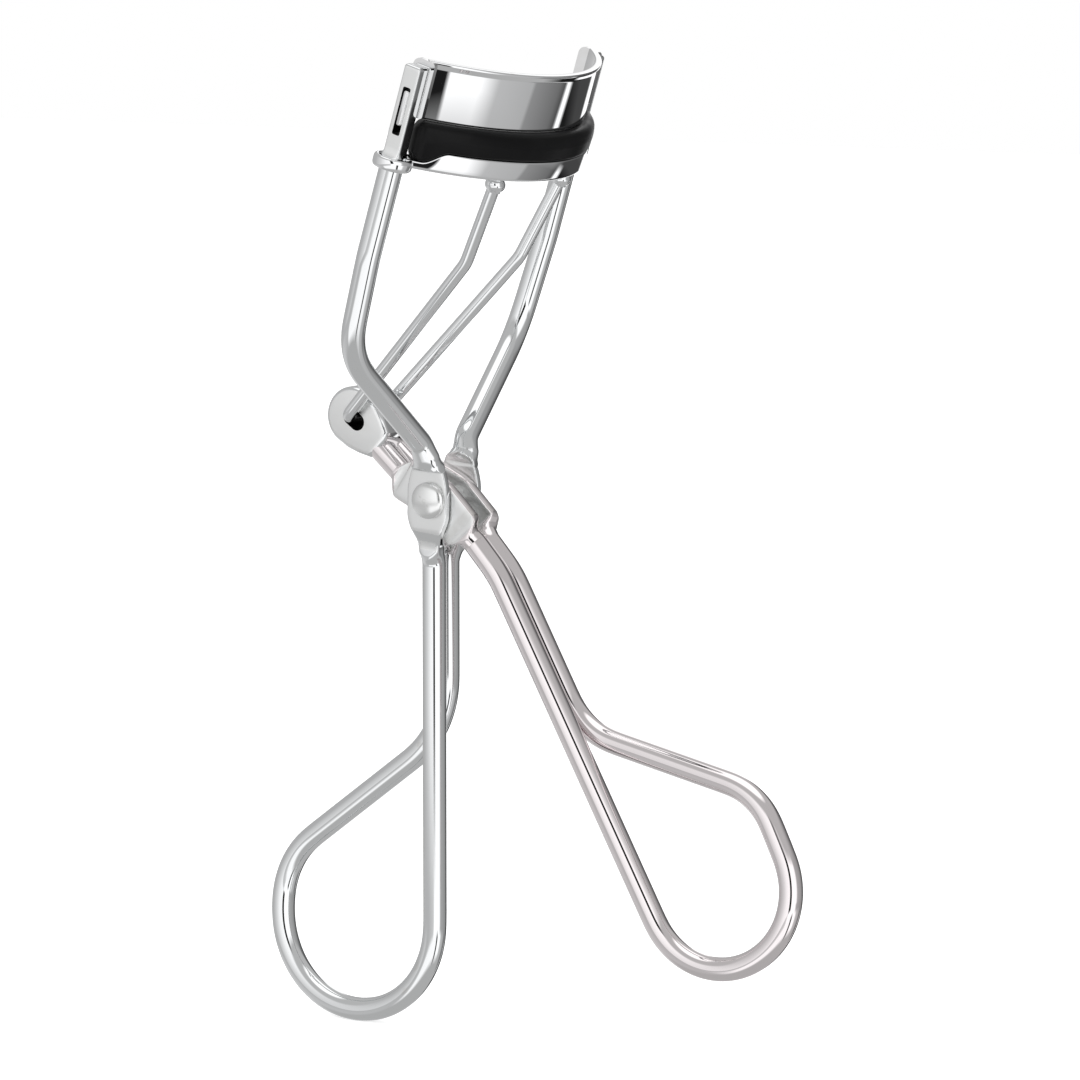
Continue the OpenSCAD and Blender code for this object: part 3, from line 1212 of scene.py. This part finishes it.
@dataclass
class LowerJaw:
    """The sliding jaw: a pressed channel with a ring at each end, and the pad."""

    low: float = 36.8
    wall: float = 2.2
    low_wall: float = 0.9
    width: float = 3.0
    sheet: float = 0.5
    half_deg: float = 46.5
    rise: tuple[float, float] = (35.5, 42.5)
    ring_bore: float = 1.5
    ring_out: float = 2.145
    ring_span: Point2 = (36.32, 37.66)
    pad_width: float = 3.2
    pad_top: float = 41.94
    pad_half_deg: float = 46.0
    pad_end_deg: float = 3.2

    def lip(self, angle: float) -> float:
        """Return the wall's height, full in the middle and dropping to the ends."""
        drop = smooth(self.rise[0], self.rise[1], abs(angle))
        return self.wall + (self.low_wall - self.wall) * drop

    def channel_profile(self, angle: float) -> list[Point2]:
        """Return the channel's section at an angle in degrees.

        Args:
            angle: Angle from the middle, in degrees.

        Returns:
            Radius and height points.
        """
        a = LAYOUT.jaw_r - self.width / 2
        b = LAYOUT.jaw_r + self.width / 2
        top = self.low + self.lip(angle)
        t = self.sheet
        return rounded(
            [(a, self.low), (b, self.low), (b, top), (b - t, top), (b - t, self.low + t),
             (a + t, self.low + t), (a + t, top), (a, top)],
            [0.35, 0.35, 0.16, 0.16, 0.1, 0.1, 0.16, 0.16], 5)

    def rings(self, bm: bmesh.types.BMesh) -> None:
        """Add the rings that slide on the arms.

        Args:
            bm: Mesh to add to.
        """
        lay = LAYOUT
        for side in (-1, 1):
            middle_r = (self.ring_bore + self.ring_out) / 2
            middle_h = sum(self.ring_span) / 2
            half_r = (self.ring_out - self.ring_bore) / 2
            half_h = (self.ring_span[1] - self.ring_span[0]) / 2
            profile = []
            for k in range(25):
                a = 2 * math.pi * (k % 24) / 24
                profile.append((middle_r + half_r * power(math.cos(a), 2.4),
                                middle_h + half_h * power(math.sin(a), 2.8)))
            lathe(bm, profile, lay.slide(lay.arm_q, side * lay.arm_y, 0), lay.slide_axis(), 56)

    def pad_profile(self, angle: float) -> list[Point2]:
        """Return the pad's section: a foot in the channel under a full, soft crown.

        Args:
            angle: Angle from the middle, in degrees.

        Returns:
            Radius and height points.
        """
        end = max(0.0, (abs(angle) - self.pad_half_deg) / self.pad_end_deg + 1)
        shrink = math.sqrt(max(0.02, 1 - end ** 2))
        mid = LAYOUT.jaw_r
        half = self.pad_width / 2
        foot = (self.width - 2 * self.sheet) / 2 - 0.06
        low = self.low + self.sheet + 0.05
        seat = self.low + self.lip(angle) + 0.04
        centre = (seat + self.pad_top) / 2
        outline = rounded(
            [(mid - foot, low), (mid + foot, low), (mid + foot, seat), (mid + half, seat),
             (mid + half + 0.06, centre), (mid + half - 0.1, self.pad_top),
             (mid - half + 0.1, self.pad_top), (mid - half - 0.06, centre),
             (mid - half, seat), (mid - foot, seat)],
            [0.2, 0.2, 0.08, 0.35, 0.8, 1.0, 1.0, 0.8, 0.35, 0.08], 6)
        return [(mid + (x - mid) * shrink, centre + (r - centre) * (0.35 + 0.65 * shrink))
                for x, r in outline]

    def build(self) -> None:
        """Build the channel with its rings, and the pad."""
        bm = bmesh.new()
        curve_sweep(bm, self.channel_profile, self.half_deg, 190)
        self.rings(bm)
        jaw = new_object("lower_jaw_channel", bm, crease_deg=45)
        dress(jaw, SHEET, Body.JAW, ["lower_jaw"])
        bm = bmesh.new()
        curve_sweep(bm, self.pad_profile, self.pad_half_deg, 180)
        pad = new_object("silicone_lash_pad", bm, crease_deg=60)
        dress(pad, RUBBER, Body.JAW, ["lash_pad"])


@dataclass
class Link:
    """The wire link through the lever's eye, and the collars that hold its ends."""

    wire_r: float = 0.7
    collar_y: float = 6.6
    jaw_low: float = 36.8
    knee: tuple[float, float, float] = (5.84, 5.35, 25.9)
    leg_y: float = 3.55
    eye: Vector = field(default_factory=lambda: LeverHandle().eye())

    def top(self, side: int, r: float) -> Vector:
        """Return the place under the jaw where a leg is fixed."""
        angle = math.asin(self.collar_y / LAYOUT.jaw_r) * side
        return LAYOUT.on_curve(LAYOUT.jaw_r, angle, r)

    def build(self) -> None:
        """Build the wire and both collars."""
        near = [
            self.top(-1, self.jaw_low - 0.6),
            Vector((self.knee[0], -self.knee[1], self.knee[2])),
            Vector((self.eye.x, -self.leg_y, self.eye.z)),
        ]
        corners = near + [flip(p) for p in reversed(near)]
        path = route(corners, [0, 5, 1.1, 1.1, 5, 0], 0.4)
        bm = bmesh.new()
        Bar(path, lambda p: (self.wire_r, self.wire_r, 2.0), Vector((0.707, 0, -0.707)),
            sides=32, end_round=0.2).build(bm)
        wire = new_object("link_bent_wire", bm)
        dress(wire, CHROME, Body.JAW, ["link_wire"])
        for side, label in ((-1, "near"), (1, "far")):
            collar = self.collar(f"link_knob_{label}", side)
            dress(collar, CHROME, Body.JAW, [f"link_collar_{label}"])

    def collar(self, name: str, side: int) -> bpy.types.Object:
        """Return one knob: a small ball under a flat collar.

        Args:
            name: Name of the piece.
            side: -1 for the near side, 1 for the far side.

        Returns:
            The knob.
        """
        profile = [(0.72, -1.62)]
        profile += [(0.2 + 0.9 * math.sin(a), -0.78 - 0.84 * math.cos(a))
                    for a in (math.radians(d) for d in range(40, 141, 8))]
        profile += [(0.86, -0.12), (0.95, -0.06), (0.95, 0.0), (0.001, 0.0)]
        bm = bmesh.new()
        lathe(bm, profile, self.top(side, self.jaw_low), LAYOUT.slide_axis(), 40)
        return new_object(name, bm)


# ---------------------------------------------------------------- studio

@dataclass
class Studio:
    """A pale floor, soft light all round and the camera."""

    azimuth: float = math.radians(32)
    elevation: float = math.radians(7)
    distance: float = 650.0
    right_shift: float = 10.0
    down_shift: float = 4.65
    lens: float = 200.4
    brightness: float = 1.3
    sensor: float = 36.0
    floor_size: float = 3.0
    floor_z: float = field(default_factory=lambda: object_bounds()[0][2])

    def camera(self) -> None:
        """Place the camera in front of the jaws, a little above the rivet."""
        sin, cos = math.sin(self.azimuth), math.cos(self.azimuth)
        rise = math.sin(self.elevation)
        flat = math.cos(self.elevation)
        right = Vector((cos, sin, 0))
        forward = Vector((-sin * flat, cos * flat, -rise))
        up = right.cross(forward)
        place = right * self.right_shift - up * self.down_shift - forward * self.distance
        data = bpy.data.cameras.new("camera")
        data.lens = self.lens
        data.sensor_width = self.sensor
        data.clip_start = 0.01
        data.clip_end = 20
        camera = bpy.data.objects.new("camera", data)
        camera.location = place * MM
        camera.rotation_euler = forward.to_track_quat("-Z", "Y").to_euler()
        bpy.context.scene.collection.objects.link(camera)
        bpy.context.scene.camera = camera

    def floor(self) -> None:
        """Lay the plain pale floor under the handles."""
        bm = bmesh.new()
        half = self.floor_size / 2 / MM
        corners = [bm.verts.new((x, y, self.floor_z / MM))
                   for x, y in ((-half, -half), (half, -half), (half, half), (-half, half))]
        bm.faces.new(corners)
        floor = new_object("floor", bm)
        material = bpy.data.materials.new("pale floor")
        material.use_nodes = True
        shader = material.node_tree.nodes["Principled BSDF"]
        shader.inputs["Base Color"].default_value = (0.9, 0.9, 0.9, 1)
        shader.inputs["Roughness"].default_value = 0.9
        shader.inputs["Emission Color"].default_value = (1, 1, 1, 1)
        shader.inputs["Emission Strength"].default_value = 0.55
        floor.data.materials.append(material)
        floor.visible_glossy = False
        floor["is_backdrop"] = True

    def world(self) -> None:
        """Hang the tent of light: bright panels with dark gaps, seen only in reflections."""
        world = bpy.data.worlds.new("tent")
        bpy.context.scene.world = world
        world.use_nodes = True
        tree = world.node_tree
        nodes, links = tree.nodes, tree.links
        nodes.clear()
        place = nodes.new("ShaderNodeTexCoord")
        parts = nodes.new("ShaderNodeSeparateXYZ")
        links.new(place.outputs["Generated"], parts.inputs["Vector"])
        around = self.around(tree, parts)
        look = self.ring_of_panels(tree, around, PANELS_LEVEL)
        below = self.ring_of_panels(tree, around, PANELS_BELOW)
        under = self.ring_of_panels(tree, around, PANELS_UNDER)
        look = self.layer(tree, parts, look, (-0.15, -0.18), under)
        look = self.layer(tree, parts, look, (-0.26, -0.34), below)
        look = self.layer(tree, parts, look, (-0.56, -0.70), None, 0.38)
        look = self.layer(tree, parts, look, (0.45, 0.60), None, 0.42)
        look = self.layer(tree, parts, look, (0.86, 0.92), None, 1.0)
        glow = nodes.new("ShaderNodeBackground")
        glow.inputs["Strength"].default_value = self.brightness
        links.new(look, glow.inputs["Color"])
        plain = nodes.new("ShaderNodeBackground")
        plain.inputs["Color"].default_value = (1, 1, 1, 1)
        rays = nodes.new("ShaderNodeLightPath")
        choose = nodes.new("ShaderNodeMixShader")
        links.new(rays.outputs["Is Camera Ray"], choose.inputs["Fac"])
        links.new(glow.outputs["Background"], choose.inputs[1])
        links.new(plain.outputs["Background"], choose.inputs[2])
        out = nodes.new("ShaderNodeOutputWorld")
        links.new(choose.outputs["Shader"], out.inputs["Surface"])

    def layer(self, tree: bpy.types.NodeTree, parts: bpy.types.Node,
              base: bpy.types.NodeSocket, heights: Point2,
              panels: bpy.types.NodeSocket | None, plain: float = 0.0) -> bpy.types.NodeSocket:
        """Lay one band of the tent over another between two heights.

        Args:
            tree: The world's nodes.
            parts: The direction's separate parts.
            base: What is there already.
            heights: Where the band starts and where it covers fully.
            panels: What the band shows, or None for an even tone.
            plain: The even tone.

        Returns:
            The two bands together.
        """
        cover = tree.nodes.new("ShaderNodeMapRange")
        cover.inputs["From Min"].default_value = heights[0]
        cover.inputs["From Max"].default_value = heights[1]
        tree.links.new(parts.outputs["Z"], cover.inputs["Value"])
        mix = tree.nodes.new("ShaderNodeMix")
        mix.data_type = "RGBA"
        tree.links.new(cover.outputs["Result"], mix.inputs["Factor"])
        tree.links.new(base, mix.inputs["A"])
        mix.inputs["B"].default_value = (plain, plain, plain, 1)
        if panels is not None:
            tree.links.new(panels, mix.inputs["B"])
        return mix.outputs["Result"]

    def around(self, tree: bpy.types.NodeTree, parts: bpy.types.Node) -> bpy.types.NodeSocket:
        """Return the direction round the tent from 0 to 1, with 0.5 facing the front.

        Args:
            tree: Tree to add the nodes to.
            parts: The direction's separate parts.

        Returns:
            The result's socket.
        """
        nodes, links = tree.nodes, tree.links
        sin, cos = math.sin(self.azimuth), math.cos(self.azimuth)

        def combine(kx: float, ky: float) -> bpy.types.NodeSocket:
            """Return kx times X plus ky times Y."""
            first = math_node(tree, "MULTIPLY", parts.outputs["X"], kx)
            return math_node(tree, "ADD", first, math_node(tree, "MULTIPLY", parts.outputs["Y"], ky))

        turn = math_node(tree, "ARCTAN2", combine(cos, sin), combine(sin, -cos))
        span = nodes.new("ShaderNodeMapRange")
        span.inputs["From Min"].default_value = -math.pi
        span.inputs["From Max"].default_value = math.pi
        links.new(turn, span.inputs["Value"])
        return span.outputs["Result"]

    def ring_of_panels(self, tree: bpy.types.NodeTree, around: bpy.types.NodeSocket,
                       panels: Sequence[Point2]) -> bpy.types.NodeSocket:
        """Return the brightness round the tent from degrees and levels.

        Args:
            tree: Tree to add the nodes to.
            around: The direction round the tent.
            panels: Degrees and levels, in order.

        Returns:
            The colour's socket.
        """
        ramp = tree.nodes.new("ShaderNodeValToRGB")
        ramp.color_ramp.interpolation = "LINEAR"
        stops = ramp.color_ramp.elements
        while len(stops) > 1:
            stops.remove(stops[0])
        for i, (degrees, level) in enumerate(panels):
            position = (degrees + 180) / 360
            stop = stops[0] if i == 0 else stops.new(position)
            stop.position = position
            stop.color = (level, level, level * 1.005, 1)
        tree.links.new(around, ramp.inputs["Fac"])
        return ramp.outputs["Color"]

    def lights(self) -> None:
        """Hang one large soft key and a smaller fill."""
        for name, place, size, watts in (("key", (-0.35, -0.55, 0.55), 0.5, 3.0),
                                         ("fill", (0.6, -0.35, 0.25), 0.4, 1.2)):
            data = bpy.data.lights.new(name, "AREA")
            data.size = size
            data.energy = watts
            light = bpy.data.objects.new(name, data)
            light.location = place
            light.rotation_euler = (-Vector(place)).to_track_quat("-Z", "Y").to_euler()
            light.visible_glossy = False
            bpy.context.scene.collection.objects.link(light)

    def build(self) -> None:
        """Set the whole studio."""
        bpy.context.scene.view_settings.view_transform = "Standard"
        self.camera()
        self.floor()
        self.world()
        self.lights()


# Direction in degrees from the camera, positive to its right, and the tent's brightness.
PANELS_LEVEL: list[Point2] = [
    (-180, 0.35), (-110, 0.40), (-70, 0.60), (-40, 0.85), (-12, 0.95), (-9, 0.01), (5, 0.01),
    (8, 1.0), (50, 0.95), (62, 0.36), (106, 0.28), (130, 0.10), (160, 0.06), (163, 0.95),
    (174, 0.95), (180, 0.35)]
PANELS_UNDER: list[Point2] = [
    (-180, 0.40), (-60, 0.42), (-14, 0.55), (-6, 1.0), (44, 1.0), (56, 0.36), (120, 0.24),
    (131, 0.05), (161, 0.05), (163, 0.95), (174, 0.95), (180, 0.40)]
PANELS_BELOW: list[Point2] = [
    (-180, 0.6), (-60, 0.42), (-50, 0.9), (20, 0.95), (24, 0.01), (33, 0.01), (35, 1.0),
    (56, 1.0), (70, 0.45), (96, 0.38), (98, 0.24), (120, 0.14), (126, 0.06), (128, 1.0),
    (131, 1.0), (133, 0.01), (161, 0.01), (163, 1.0), (180, 0.6)]


def main() -> None:
    """Build the curler piece by piece, then the studio round it."""
    logging.basicConfig(level=logging.INFO, format="%(name)s: %(message)s")
    FrameHandle().build()
    LeverHandle().build()
    PivotRivet().build()
    UpperBand().build()
    LowerJaw().build()
    Link().build()
    Studio().build()


if __name__ == "__main__":
    main()
